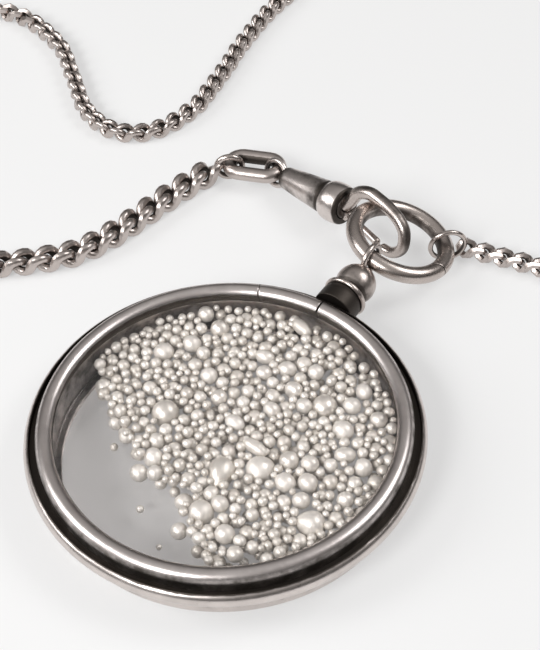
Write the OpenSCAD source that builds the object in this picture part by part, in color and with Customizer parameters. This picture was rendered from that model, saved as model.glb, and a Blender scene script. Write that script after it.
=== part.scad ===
// Glass medallion pendant with silver granules, on a snap clasp and a graduated curb chain.
// Millimetres. The origin is the middle of the back, on the table. +Y points to the neck and +Z up
// out of the front glass. Everything lies on the table as it is put down.

/* [Case] */
// Outer diameter of the round case
case_d = 40; // [39.6:0.1:40.4]
// Height of the middle of the outer rim
rim_z = 4.2; // [4.1:0.05:4.3]
// Half thickness of the rounded outer rim
rim_wire = 1; // [0.9:0.05:1.1]
// Radius of the circle through the crest of the bezel
bezel_r = 17.78; // [17.76:0.01:17.8]
// Half thickness of the rounded bezel
bezel_wire = 0.9; // [0.88:0.01:0.9]
// Height of the middle of the rounded bezel
bezel_z = 5.6; // [5.55:0.05:5.6]
// Thickness of each of the two glasses
glass_t = 0.8; // [0.7:0.05:0.8]

/* [Neck] */
// Radius of the dark cup on the rim
cup_r = 2.3; // [2.2:0.05:2.4]
// Radius of the thin bright disc on the cup
disc_r = 2.5; // [2.4:0.05:2.6]
// Radius of the ball
ball_r = 2.2; // [2.1:0.05:2.2]
// Radius of the wire of the small eye on the ball
eye_wire = 0.34; // [0.3:0.02:0.36]

/* [Bow ring] */
// Radius of the middle of the bow ring's wire
bow_r = 5.3; // [5.28:0.01:5.32]
// Radius of the bow ring's wire
bow_wire = 0.95; // [0.93:0.01:0.95]
// Tilt of the bow ring from flat, in degrees
bow_tilt = 18.4; // [18.2:0.1:18.6]

/* [Clasp] */
// Length of the conical barrel
barrel_l = 9.6; // [9.4:0.1:9.8]
// Radius of the rounded collar at the barrel's mouth
collar_r = 2.35; // [2.25:0.01:2.35]
// Radius of the hook's wire at its root
hook_wire = 0.78; // [0.7:0.01:0.78]
// Radius of the spring gate
gate_wire = 0.48; // [0.4:0.02:0.5]

/* [Chain] */
// Half width of the chain beside the clasp
chain_wide = 1.4; // [1.3:0.05:1.4]
// Half width of the chain where it has run thin
chain_thin = 1; // [0.9:0.05:1.05]
// Length over which the chain runs thin
chain_taper = 130; // [100:5:160]

/* [Granules] */
// Spacing of the small granules
granule_pitch = 1.72; // [1.72:0.01:1.9]
// Radius of the smallest granule of the field
granule_min = 0.44; // [0.35:0.01:0.5]
// Radius of the largest granule of the field
granule_max = 0.67; // [0.5:0.01:0.68]

/* [Hidden] */
$fn = 96;

rim_r = case_d / 2 - rim_wire;
wall_r = 17.3;
body_r = 18.4;
shoulder_z = 4.35;
skirt_r = 18.6;
groove_out = 19.4;
lip_r = 16.6;
lip_t = 0.5;
glass_r = 17.2;
front_glass_r = 17.45;
glass_gap = 0.1;
glass_top_z = 5.75;
glass_seat_z = glass_top_z - glass_t;
back_edge = 0.75;
floor_z = lip_t + glass_t;
slit_w = 0.12;
slit_x = -0.4;

cup_y = 18.1;
disc_y = 21.6;
disc_t = 0.6;
ball_y = 24;
eye_at = [-0.05, 27.15, 5.32];
eye_r = 1.56;

bow_at = [0.5, 32.35, 3.95];
bow_turn = 43.6;
bow_low = [cos(bow_turn) * cos(bow_tilt), sin(bow_turn) * cos(bow_tilt), -sin(bow_tilt)];
seam_turn = -52;
seam_w = 0.1;

// The clasp's own frame: X runs out of the barrel's mouth, Y up across the hook, Z is its pin's axis
clasp_at = [-7.75, 34.15, 3.8];
clasp_turn = [70.7, -7.6, -9.1];
pin_at = [0.62, -1.15];
pin_r = 0.2;
pin_gap = 0.05;
gate_l = 4.6;
gate_fall = -18;
barrel_small = 1.25;
barrel_big = 1.95;
barrel_drop = 0.35;
hook_tip = 0.6;
collar_l = 2.8;
mouth_r = 1.5;
mouth_l = 1;
barrel_eye = [-10.85, 1.5, 0.34];

link_at = [-21.2, 35.36, 1.95];
link_turn = [0, -3, 18.8];
link_bend = 1.5;
link_half = 1.5;
link_wire = 0.82;

start_ring_at = [-23.68, 33.8];
start_ring_turn = 38.8;
start_ring_r = 1.5;
start_ring_wire = 0.36;
end_ring_r = 1.95;
end_ring_wire = 0.28;
end_ring_out = 0.35;

// Where the hook's wire runs, in the clasp's frame
hook_path = [[0, -0.2], [0.8, 0.86], [1.4, 1.8], [2.3, 2.32], [3.4, 2.52], [4.8, 2.25], [6.3, 1.8],
             [7.7, 1.05], [8.65, -0.15], [8.65, -1.95], [7.35, -2.98], [5.75, -2.98]];

// Where the middle of the chain lies on the table, from the clasp round to the bow ring
chain_route = [[-25.5, 32], [-26.8, 26.9], [-27.9, 21.2], [-28.5, 18.4], [-29.3, 15.8], [-30.4, 13.4],
               [-32, 11.4], [-35, 8.6], [-41, 4], [-50, 0.4], [-60, 0], [-70, 3.5], [-77.5, 11],
               [-80.5, 21], [-78.5, 31.5], [-72.5, 39.5], [-64.5, 43.2], [-56.2, 41.5], [-50.6, 37.6],
               [-48.2, 35.7], [-45.9, 33.9], [-43.4, 32.7], [-41, 32.2], [-39, 32.4], [-37.2, 33.3],
               [-35.7, 34.8], [-34.7, 36.9], [-34.2, 39.2], [-34, 41.5], [-34.3, 44], [-35.2, 49.3],
               [-36.3, 54.8], [-37, 64], [-35.5, 80], [-30.5, 99], [-21, 116], [-6, 130], [13, 137],
               [33, 135.5], [50.5, 125.5], [62.5, 109], [66.5, 90], [63.5, 71.5], [54, 56], [41, 47],
               [27, 42.4], [15.5, 40], [6.4, 38]];
route_step = 9.2;

// Edge of the heap of granules, as the least y at each x
heap_edge = [[-17, 1.5], [-15.3, -0.8], [-13.3, -2.8], [-9.6, -5.4], [-5.6, -7.1], [-2.9, -8.3],
             [0.6, -7.8], [2.3, -10.9], [6.4, -12.5], [9, -17]];

// Large granules: x, y, radius, radius of the far end, distance of the far end, its direction
big_granules = [[-6.9, -0.7, 1.7, 0, 0, 0], [2.1, -3, 1.45, 0.7, 2.1, -98], [4.9, -1.1, 1.55, 1.2, 0.6, 60],
                [1.4, 1.4, 0.62, 0.62, 1.5, -6], [6.5, 1.6, 1.05, 0, 0, 0], [3.1, -8.5, 1.3, 0, 0, 0],
                [12.6, -3.6, 1.4, 1, 0.6, 200], [6.1, 8.9, 1.45, 1.15, 0.7, 150],
                [-1.8, 15.3, 0.9, 0.6, 1, 20], [-0.5, 11.5, 1.1, 0.8, 0.5, 80], [-9.4, 12.1, 1.2, 0, 0, 0],
                [-12.4, 6.3, 1.25, 1, 0.4, 250], [9, 7.6, 1.15, 0, 0, 0], [10.4, 5.5, 1.05, 0.9, 0.4, 0],
                [8, 10.9, 1, 0, 0, 0], [7.9, 13.3, 1, 0.8, 0.3, 30], [10.1, -1.6, 0.95, 0, 0, 0],
                [-2.2, 9.7, 1, 0, 0, 0], [-10.9, 8.9, 1.1, 0, 0, 0], [1.8, 9.4, 1.1, 0.9, 0.3, 45],
                [-2.7, -10.7, 0.4, 0, 0, 0], [1.5, -13.2, 0.3, 0, 0, 0], [-10.4, -6.9, 0.48, 0, 0, 0]];
granule_gap = 0.12;
granule_sway = 0.11;
rows = 11;
draws = rands(0, 1, 3 * (2 * rows + 1) * (2 * rows + 1), 7);

function unit(v) = v / norm(v);
function mix(a, b, t) = a + (b - a) * min(1, max(0, t));
function spline_point(p, i, t) =
    let (a = p[max(i - 1, 0)], b = p[i], c = p[i + 1], d = p[min(i + 2, len(p) - 1)])
    0.5 * (2 * b + (c - a) * t + (2 * a - 5 * b + 4 * c - d) * t * t + (3 * b - 3 * c + d - a) * t * t * t);
function smooth_path(p, step) =
    [for (i = [0 : len(p) - 2])
        let (n = ceil(norm(p[i + 1] - p[i]) / step))
        for (k = [0 : n - 1]) spline_point(p, i, k / n),
     p[len(p) - 1]];
function run_lengths(p) =
    [for (k = 0, s = 0; k < len(p); s = s + (k < len(p) - 1 ? norm(p[k + 1] - p[k]) : 0), k = k + 1) s];
function at_height(p, z) = [p[0], p[1], z];

// Distance of a point from a large granule's surface
function big_reach(b, p) =
    let (far = [b[0] + b[4] * cos(b[5]), b[1] + b[4] * sin(b[5])],
         t = b[4] > 0 ? min(1, max(0, (p - [b[0], b[1]]) * (far - [b[0], b[1]]) / (b[4] * b[4]))) : 0)
    norm(p - [b[0], b[1]] - t * (far - [b[0], b[1]])) - mix(b[2], b[4] > 0 ? b[3] : b[2], t);

// Small granules: a jittered three-way grid, kept inside the wall, on the heap and off the large ones
small_granules =
    [for (i = [-rows : rows], j = [-rows : rows])
        let (n = 3 * ((i + rows) * (2 * rows + 1) + j + rows),
             turn = 360 * draws[n],
             sway = granule_sway * draws[n + 1],
             r = mix(granule_min, granule_max, draws[n + 2]),
             p = [granule_pitch * (i + (j % 2 == 0 ? 0 : 0.5)) + sway * cos(turn),
                  granule_pitch * sqrt(3) / 2 * j + sway * sin(turn)])
        if (norm(p) + r < wall_r - 2 * granule_gap && p[1] > lookup(p[0], heap_edge)
            && min([for (b = big_granules) big_reach(b, p)]) > r + granule_gap)
            [p[0], p[1], r]];

module wire_ring(r, wire) {
    rotate_extrude() translate([r, 0]) circle(wire, $fn = 32);
}

// A round wire along a path, with its own radius at each point
module swept_wire(path, radii, sides) {
    last = len(path) - 1;
    points = [for (k = [0 : last])
        let (along = unit(path[min(k + 1, last)] - path[max(k - 1, 0)]),
             side = unit(cross(along, [0, 0, 1])),
             up = cross(side, along))
        for (a = [0 : sides - 1])
            path[k] + radii[k] * (cos(360 * a / sides) * side + sin(360 * a / sides) * up)];
    walls = [for (k = [0 : last - 1], a = [0 : sides - 1])
        let (b = (a + 1) % sides)
        [k * sides + a, k * sides + b, (k + 1) * sides + b, (k + 1) * sides + a]];
    start = [[for (a = [sides - 1 : -1 : 0]) a]];
    end = [[for (a = [0 : sides - 1]) last * sides + a]];
    polyhedron(points, concat(walls, start, end), convexity = 6);
}

module at_clasp() {
    translate(clasp_at) rotate(clasp_turn) children();
}

// Rim, wall, back lip and neck cup, soldered as one
module case_body() {
    color([0.45, 0.42, 0.4]) difference() {
        union() {
            rotate_extrude() {
                translate([rim_r, rim_z]) circle(rim_wire, $fn = 48);
                translate([body_r - back_edge, back_edge]) circle(back_edge, $fn = 48);
                polygon([[lip_r, 0], [body_r - back_edge, 0], [body_r, back_edge], [body_r, rim_z - rim_wire],
                         [rim_r, rim_z], [rim_r, shoulder_z], [wall_r, shoulder_z], [wall_r, lip_t],
                         [lip_r, lip_t]]);
            }
            translate([0, cup_y, rim_z]) rotate([-90, 0, 0]) cylinder(r = cup_r, h = disc_y - cup_y);
        }
        translate([0, 0, shoulder_z]) cylinder(r = groove_out, h = case_d / 4);
        translate([0, 0, lip_t]) cylinder(r = wall_r, h = case_d / 4);
    }
}

// Split front bezel, rounded on top, with a rebate for the glass
module bezel() {
    color([0.8, 0.77, 0.74]) difference() {
        rotate_extrude() {
            translate([bezel_r, bezel_z]) circle(bezel_wire, $fn = 48);
            translate([wall_r, shoulder_z]) square([skirt_r - wall_r, bezel_z - shoulder_z]);
        }
        translate([0, 0, glass_seat_z]) cylinder(r = front_glass_r + glass_gap, h = glass_t);
        translate([slit_x - slit_w / 2, wall_r - 1, shoulder_z - 1]) cube([slit_w, 3, 4]);
    }
}

module front_glass() {
    color([0.85, 0.9, 0.92, 0.3]) translate([0, 0, glass_seat_z]) cylinder(r = front_glass_r, h = glass_t);
}

module back_glass() {
    color([0.85, 0.9, 0.92, 0.3]) translate([0, 0, lip_t]) cylinder(r = glass_r, h = glass_t);
}

// An egg on its side, from a round near end to a far end of its own radius
module big_granule(b) {
    turns = 12;
    far = b[4] > 0 ? b[3] : b[2];
    profile = [for (k = [0 : turns])
        let (turn = 180 * k / turns)
        [mix(b[2], far, k / turns) * sin(turn), mix(-b[2], b[4] + far, (1 - cos(turn)) / 2)]];
    high = max([for (p = profile) p[0]]);
    translate([b[0], b[1], floor_z + high]) {
        if (b[4] > 0) rotate([0, 90, b[5]]) rotate_extrude($fn = 24) polygon(profile);
        else sphere(b[2], $fn = 24);
    }
}

// Loose silver granules, each resting on the back glass
module granules() {
    color([0.86, 0.84, 0.81]) {
        for (b = big_granules) big_granule(b);
        for (g = small_granules) translate([g[0], g[1], floor_z + g[2]]) sphere(g[2], $fn = 24);
    }
}

// Disc, ball and wire eye on the neck, soldered as one
module finial() {
    color([0.6, 0.57, 0.54]) {
        translate([0, disc_y, rim_z]) rotate([-90, 0, 0]) {
            translate([0, 0, disc_t / 2]) wire_ring(disc_r - disc_t / 2, disc_t / 2);
            cylinder(r = disc_r - disc_t / 2, h = disc_t);
        }
        translate([0, ball_y, rim_z]) sphere(ball_r);
        translate(eye_at) rotate([0, 90, 0]) wire_ring(eye_r, eye_wire);
    }
}

// Open wire ring whose two ends meet at a slanted seam
module bow_ring() {
    color([0.6, 0.56, 0.53]) translate(bow_at) rotate([0, bow_tilt, bow_turn]) difference() {
        wire_ring(bow_r, bow_wire);
        rotate([0, 0, seam_turn]) translate([bow_r, 0, 0]) rotate([0, 0, 20])
            cube([3 * bow_wire, seam_w, 3 * bow_wire], center = true);
    }
}

// Hook with its plug in the barrel, two ears and the gate's pin
module clasp_hook() {
    path = smooth_path([for (p = hook_path) at_height(p, 0)], 0.5);
    runs = run_lengths(path);
    radii = [for (s = runs) mix(hook_wire, hook_tip, pow(s / runs[len(runs) - 1], 2))];
    ear_t = 0.3;
    ear_z = 0.45;
    color([0.62, 0.58, 0.55]) at_clasp() {
        swept_wire(path, radii, 14);
        translate([-mouth_l + 0.1, -barrel_drop, 0]) rotate([0, 90, 0])
            cylinder(r = mouth_r - 0.1, h = mouth_l, $fn = 48);
        for (side = [-1, 1]) translate([pin_at[0], pin_at[1], side * (ear_z + ear_t / 2)]) {
            cylinder(r = 0.45, h = ear_t, center = true, $fn = 32);
            translate([-0.6, 0, -ear_t / 2]) cube([0.6, 0.45, ear_t]);
        }
        translate([pin_at[0], pin_at[1], 0])
            cylinder(r = pin_r, h = 2 * ear_z + ear_t, center = true, $fn = 32);
    }
}

// Spring gate that turns on the hook's pin and closes on the hook's tip
module clasp_gate() {
    knuckle = 0.42;
    color([0.62, 0.58, 0.55]) at_clasp() translate([pin_at[0], pin_at[1], 0]) difference() {
        union() {
            cylinder(r = knuckle, h = 0.7, center = true, $fn = 32);
            rotate([0, 90, gate_fall]) {
                translate([0, 0, 0.3]) cylinder(r1 = 0.35, r2 = gate_wire, h = gate_l - 0.3, $fn = 32);
                translate([0, 0, gate_l]) sphere(gate_wire, $fn = 32);
            }
        }
        cylinder(r = pin_r + pin_gap, h = 2, center = true, $fn = 32);
    }
}

// Conical barrel with a rounded collar at its mouth and an eye at its narrow end
module clasp_barrel() {
    color([0.5, 0.46, 0.43]) at_clasp() translate([0, -barrel_drop, 0]) difference() {
        union() {
            rotate([0, -90, 0]) rotate_extrude() {
                polygon([[0, collar_l - 1], [barrel_big, collar_l - 1], [barrel_small, barrel_l - 0.4],
                         [barrel_small - 0.4, barrel_l], [0, barrel_l]]);
                polygon([[0, 0], [collar_r - 0.25, 0], [collar_r - 0.1, 0.3], [collar_r, 0.9],
                         [collar_r, collar_l - 0.8], [collar_r - 0.12, collar_l - 0.3],
                         [barrel_big, collar_l], [0, collar_l]]);
            }
            translate([barrel_eye[0], 0, 0]) wire_ring(barrel_eye[1], barrel_eye[2]);
        }
        translate([-mouth_l, 0, 0]) rotate([0, 90, 0]) cylinder(r = mouth_r, h = mouth_l + 1, $fn = 48);
    }
}

// Oval link that joins the barrel's eye to the chain
module join_link() {
    color([0.55, 0.51, 0.48]) translate(link_at) rotate(link_turn) {
        for (end = [0, 180]) rotate([0, 0, end]) {
            translate([link_half, 0, 0]) rotate([0, 0, -90]) rotate_extrude(angle = 180)
                translate([link_bend, 0]) circle(link_wire, $fn = 32);
            translate([-link_half, link_bend, 0]) rotate([0, 90, 0])
                cylinder(r = link_wire, h = 2 * link_half, $fn = 32);
        }
    }
}

// The curb chain's outer form, one swept wire from the join link round to the end ring
module chain() {
    flat = smooth_path([for (p = chain_route) at_height(p, 0)], route_step);
    radii = [for (s = run_lengths(flat)) mix(chain_wide, chain_thin, s / chain_taper)];
    color([0.4, 0.37, 0.35])
        swept_wire([for (k = [0 : len(flat) - 1]) at_height(flat[k], radii[k])], radii, 8);
}

// Plain wire ring that stands on the table, edge on, in the given direction
module standing_ring(at, r, wire, turn) {
    color([0.55, 0.51, 0.48]) translate([at[0], at[1], r + wire]) rotate([90, 0, turn]) wire_ring(r, wire);
}

// Ring between the join link and the first link of the chain
module chain_start_ring() {
    standing_ring(start_ring_at, start_ring_r, start_ring_wire, start_ring_turn);
}

// Ring that closes the chain on the bow ring
module chain_end_ring() {
    low = bow_at + bow_r * bow_low;
    standing_ring([low[0] + end_ring_out * cos(bow_turn), low[1] + end_ring_out * sin(bow_turn)],
                  end_ring_r, end_ring_wire, bow_turn);
}

case_body();
bezel();
front_glass();
back_glass();
granules();
finial();
bow_ring();
clasp_hook();
clasp_gate();
clasp_barrel();
join_link();
chain_start_ring();
chain();
chain_end_ring();
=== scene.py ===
"""Round glass medallion full of loose silver granules, with its snap clasp and its curb chain, lying on
a pale table. Shapes are worked out in millimetres, in the part's own frame, and made metres in piece()."""

import bpy
import numpy as np
from mathutils import Matrix


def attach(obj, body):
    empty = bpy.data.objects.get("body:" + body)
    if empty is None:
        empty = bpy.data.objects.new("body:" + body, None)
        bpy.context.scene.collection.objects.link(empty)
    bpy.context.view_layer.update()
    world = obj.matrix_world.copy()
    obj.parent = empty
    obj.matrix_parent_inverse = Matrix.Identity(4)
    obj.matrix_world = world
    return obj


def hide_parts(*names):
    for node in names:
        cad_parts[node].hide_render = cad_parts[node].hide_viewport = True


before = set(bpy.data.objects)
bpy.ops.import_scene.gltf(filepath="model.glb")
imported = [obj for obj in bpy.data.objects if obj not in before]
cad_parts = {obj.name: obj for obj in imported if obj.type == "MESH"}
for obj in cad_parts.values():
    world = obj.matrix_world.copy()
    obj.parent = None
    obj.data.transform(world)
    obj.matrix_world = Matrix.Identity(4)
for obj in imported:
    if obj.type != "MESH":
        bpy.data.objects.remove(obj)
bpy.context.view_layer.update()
MM = 0.001

# ---- Sizes that the pieces share, in millimetres ----
# Heights of the middle of the rim's round edge and of the shoulder that carries the bezel
RIM_Z, SHOULDER_Z = 4.2, 4.35
# The bezel's round top: how far out and how high its middle runs, and its radius
BEZEL_R, BEZEL_Z, BEZEL_WIRE = 17.78, 5.6, 0.9
# Directions from the middle to the bezel's slit and to its nick, in degrees
SLIT_AT, NICK_AT = 91.3, 113.6
# The wall's inner radius, and heights of the floor of glass, of the small granules' tops and of the
# bezel's edge on the front glass
WALL_R, GRANULE_FLOOR, HEAP_TOP, GLASS_TOP = 17.3, 1.3, 4.2, 5.76
# The clasp's own frame: X along it from the barrel's mouth to the hook, Z along the gate's pin
CLASP_AT, CLASP_TURN = (-7.75, 34.15, 3.8), (70.7, -7.6, -9.1)
PIN_AT = (0.62, -1.15, 0.0)
# Half the hook's wire and how much thinner it is at its tip, the gate's length and how far it points down
HOOK_WIRE, HOOK_THINS, GATE_LONG, GATE_DOWN = 0.78, 0.18, 4.6, -18
# The barrel's axis lies this far below the clasp's X, and its eye this far along it
BARREL_DROP, BARREL_EYE_X = 0.35, -10.85
# Where the neck's cup and the disc on it begin, and the middle of the eye on the ball
CUP_Y, NECK_Y, EYE_AT = 19.48, 21.6, (-0.05, 27.15, 5.32)
# The bow ring: middle, turn, radius and half the wire's thickness
BOW_AT, BOW_TURN, BOW_R, BOW_WIRE = (0.5, 32.35, 3.95), (0, 18.4, 43.6), 5.3, 0.95
# Its seam: direction, lean and half its width, in degrees
SEAM_AT, SEAM_LEAN, SEAM_HALF = -52, 24, 0.5
# The oval link: place, turn, bends, half the distance between them and half the wire's thickness
LINK_AT, LINK_TURN, LINK_BEND, LINK_HALF, LINK_WIRE = (-21.2, 35.36, 1.95), (0, -3, 18.8), 1.5, 1.5, 0.82
# Rings that stand on the table, edge on: place, radius, half the wire's thickness and heading
START_RING = ((-23.68, 33.8), 1.5, 0.36, 38.8)
END_RING = ((4.396, 36.061), 1.95, 0.28, 43.6)
# Half the chain's width at its start and past its taper, the taper's length, and half its wire's thickness
CHAIN_WIDE, CHAIN_THIN, CHAIN_TAPER, CURB_WIRE = 1.4, 1.0, 130.0, 0.54
# Distance from link to link at the first width, and what the thin links gain in distance and in length
LINK_PITCH, PITCH_GAIN, LONG_GAIN = 2.75, 0.25, 0.07
# How much fuller a link's wire is on its long sides, and how far the link is then drawn together and flattened
CURB_FULLER, CURB_NARROW, CURB_FLAT = 0.34, 1.4 / 1.56, 0.95
# Stretches of the chain that the photograph shows, from and to, along its length
SHOWN_RUNS = ((0, 30), (118, 185))

# Where the hook's wire runs, in the clasp's own frame
HOOK_PATH = [[0, -0.2], [0.8, 0.86], [1.4, 1.8], [2.3, 2.32], [3.4, 2.52], [4.8, 2.25], [6.3, 1.8],
             [7.7, 1.05], [8.65, -0.15], [8.65, -1.95], [7.35, -2.98], [5.75, -2.98]]
# Where the middle of the chain lies on the table
CHAIN_ROUTE = [[-25.5, 32], [-26.8, 26.9], [-27.9, 21.2], [-28.5, 18.4], [-29.3, 15.8], [-30.4, 13.4],
               [-32, 11.4], [-35, 8.6], [-41, 4], [-50, 0.4], [-60, 0], [-70, 3.5], [-77.5, 11],
               [-80.5, 21], [-78.5, 31.5], [-72.5, 39.5], [-64.5, 43.2], [-56.2, 41.5], [-50.6, 37.6],
               [-48.2, 35.7], [-45.9, 33.9], [-43.4, 32.7], [-41, 32.2], [-39, 32.4], [-37.2, 33.3],
               [-35.7, 34.8], [-34.7, 36.9], [-34.2, 39.2], [-34, 41.5], [-34.3, 44], [-35.2, 49.3],
               [-36.3, 54.8], [-37, 64], [-35.5, 80], [-30.5, 99], [-21, 116], [-6, 130], [13, 137],
               [33, 135.5], [50.5, 125.5], [62.5, 109], [66.5, 90], [63.5, 71.5], [54, 56], [41, 47],
               [27, 42.4], [15.5, 40], [6.4, 38]]
# Large granules: where the middle is seen in the photograph, in pixels across and down, then half the length
# and half the width in millimetres, the way it points, how much it narrows to that end, and its crinkle
LARGE_GRANULES = [
    [165.5, 413.5, 1.42, 1.42, 0, 0, 0.01], [221, 474, 1.85, 1.3, -70, 0.3, 0.02],
    [260.5, 470, 1.5, 1.42, 60, 0.1, 0.02], [255, 447, 1.5, 0.72, -5, 0, 0.04],
    [289, 461, 1.0, 1.0, 0, 0, 0.02], [201, 513, 1.3, 1.3, 0, 0, 0.02],
    [311, 524, 1.55, 1.35, 200, 0.12, 0.08], [324, 407.5, 1.35, 1.35, 0, 0, 0.1],
    [304.5, 324, 1.35, 0.75, -17, 0, 0.03], [287.5, 369, 1.05, 0.9, 40, 0, 0.14],
    [220, 329, 1.1, 1.05, 0, 0, 0.12], [164, 352.5, 1.1, 1.05, 0, 0, 0.12],
    [343, 431, 1.15, 1.05, 0, 0, 0.05], [345, 455, 1.1, 0.85, 30, 0, 0.05], [352, 406, 0.95, 0.9, 0, 0, 0.04],
    [364.5, 392, 0.95, 0.9, 0, 0, 0.16], [301, 500, 0.9, 0.85, 0, 0, 0.1], [264, 373, 0.85, 0.8, 0, 0, 0.08],
    [192, 344, 1.0, 0.95, 0, 0, 0.03], [294, 390, 1.0, 0.95, 0, 0, 0.16], [304, 406, 0.9, 0.8, 0, 0, 0.1],
    [265, 357, 1.05, 0.75, 10, 0, 0.08], [219, 397.5, 0.85, 0.85, 0, 0, 0.04],
    [285, 483, 1.1, 1.0, 0, 0, 0.05], [308, 483, 1.05, 0.95, 0, 0, 0.05], [363, 467, 1.0, 0.95, 0, 0, 0.16],
    [154, 457.5, 1.05, 1.0, 0, 0, 0.08], [139, 473, 0.95, 0.9, 0, 0, 0.04],
    [185, 502.5, 1.0, 0.9, 0, 0, 0.16], [379, 420, 0.95, 0.9, 0, 0, 0.1], [104, 387.5, 0.95, 0.9, 0, 0, 0.04],
    [316, 372.5, 0.85, 0.85, 0, 0, 0.03], [206, 314, 0.9, 0.85, 0, 0, 0.05],
    [310, 464, 0.95, 0.9, 0, 0, 0.04], [209, 376, 0.9, 0.9, 0, 0, 0.03], [272, 410, 0.95, 0.85, 0, 0, 0.1],
    [235, 422.5, 1.1, 0.8, -5, 0, 0.06], [225, 534, 1.0, 1.0, 0, 0, 0.05], [179, 531, 0.85, 0.85, 0, 0, 0.03],
    [235, 554, 0.85, 0.8, 0, 0, 0.04], [220, 504, 0.9, 0.85, 0, 0, 0.05], [345, 500, 0.85, 0.85, 0, 0, 0.1],
    [140, 509, 0.4, 0.4, 0, 0, 0.02], [159, 547, 0.3, 0.3, 0, 0, 0.02], [114, 447, 0.42, 0.42, 0, 0, 0.02]]
# Height of the tops of the large granules inside the heap
LARGE_TOP = 4.45
# Rounds of small granules dropped on the heap: how many are tried, and their least and most radius
ROUNDS = ((420, 0.6, 0.86), (320, 0.44, 0.58), (260, 0.34, 0.44))
# Places tried for each of them, and the corner of the case, beyond this x and below this y, left bare
PLACES, BARE_X, BARE_Y = 48, 8.5, -9.5
# How much higher things look through the front glass, by its thickness and bending of light
GLASS_LIFT = 0.34
# Edge of the heap of granules, as the least y at each x
HEAP_EDGE = np.array([[-17, 0.9], [-15.3, -1.4], [-13.3, -3.2], [-9.6, -5.4], [-5.6, -7.1], [-2.9, -8.3],
                      [0.6, -7.8], [2.3, -10.9], [6.4, -12.5], [9, -17]])
# The place that the soft lights face
LIGHTS_AIM = (0, 12, 3)
# The table's own colour, its glow to the camera and in reflections, and what the glass takes off its glow
TABLE_DIFFUSE, GLOW_SEEN, GLOW_MIRRORED, GLOW_UNDER_GLASS = 0.4, 0.46, 0.52, -0.3


# ---- Camera ----
# The lens, and where the middle of the rim stands before it: right, up and away, in millimetres
SENSOR_MM, FOCAL_MM = 36.0, 110.0
PHOTO_WIDE, PHOTO_HIGH = 540, 650
CAMERA_TURN, CAMERA_RISE, CAMERA_ROLL = 36.5, 48.1, 2.7
RIM_IN_VIEW = (-4.43, -10.64, 163.52)


def camera_frame():
    """The camera's directions across, up and back, and its place in millimetres. It looks down CAMERA_RISE
    degrees from the side at CAMERA_TURN degrees, rolled a little, and stands where the rim's middle has the
    place RIM_IN_VIEW before the lens."""
    turn, rise, roll = np.radians([CAMERA_TURN, CAMERA_RISE, CAMERA_ROLL])
    right = np.array([np.cos(turn), np.sin(turn), 0])
    back = np.array([np.sin(turn) * np.cos(rise), -np.cos(turn) * np.cos(rise), np.sin(rise)])
    up = np.cross(back, right)
    across = right * np.cos(roll) - up * np.sin(roll)
    above = right * np.sin(roll) + up * np.cos(roll)
    x, y, z = RIM_IN_VIEW
    return across, above, back, np.array([0, 0, RIM_Z]) - (x * across + y * above - z * back)


def seen_at(pixels, height):
    """Points at the given heights on the lines of sight through pixels of the photograph: the camera's
    place plus as much of the line's direction as reaches the height."""
    across, above, back, place = camera_frame()
    per_pixel = SENSOR_MM / FOCAL_MM / PHOTO_WIDE
    way = ((pixels[:, :1] - PHOTO_WIDE / 2) * per_pixel * across
           + (PHOTO_HIGH / 2 - pixels[:, 1:]) * per_pixel * above - back)
    return place + ((height - place[2]) / way[:, 2])[:, None] * way


def photo_camera():
    """The photograph's camera."""
    across, above, back, place = camera_frame()
    lens = bpy.data.cameras.new("photo_camera")
    lens.sensor_fit, lens.sensor_width, lens.lens = "HORIZONTAL", SENSOR_MM, FOCAL_MM
    lens.clip_start, lens.clip_end = 0.005, 20
    camera = bpy.data.objects.new("photo_camera", lens)
    pose = np.eye(4)
    pose[:3, 0], pose[:3, 1], pose[:3, 2], pose[:3, 3] = across, above, back, place * MM
    camera.matrix_world = Matrix(pose.tolist())
    bpy.context.collection.objects.link(camera)
    bpy.context.scene.camera = camera


# ---- Surfaces ----
def unit(v):
    """Each vector divided by its length."""
    return v / np.linalg.norm(v, axis=-1, keepdims=True)


def smooth_step(low, high, x):
    """0 below low, 1 above high, and 3t^2 - 2t^3 between them."""
    t = np.clip((x - low) / (high - low), 0, 1)
    return t * t * (3 - 2 * t)


def quads(rows, cols, wrap_rows, wrap_cols):
    """Four-cornered faces over a grid of points, joined end to start where it wraps."""
    r = np.arange(rows if wrap_rows else rows - 1)[:, None]
    c = np.arange(cols if wrap_cols else cols - 1)[None, :]
    r2, c2 = (r + 1) % rows, (c + 1) % cols
    return np.stack([r * cols + c, r * cols + c2, r2 * cols + c2, r2 * cols + c], -1).reshape(-1, 4)


def placed(points, turn=(0, 0, 0), at=(0, 0, 0)):
    """Points turned about X, then Y, then Z, in degrees, and then moved."""
    (cx, cy, cz), (sx, sy, sz) = np.cos(np.radians(turn)), np.sin(np.radians(turn))
    rx = np.array([[1, 0, 0], [0, cx, -sx], [0, sx, cx]])
    ry = np.array([[cy, 0, sy], [0, 1, 0], [-sy, 0, cy]])
    rz = np.array([[cz, -sz, 0], [sz, cz, 0], [0, 0, 1]])
    return points @ (rz @ ry @ rx).T + np.array(at)


def moved(part, turn=(0, 0, 0), at=(0, 0, 0)):
    """A part's points turned and moved, its faces and tone_and_shade values kept."""
    return (placed(part[0], turn, at),) + part[1:]


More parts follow.
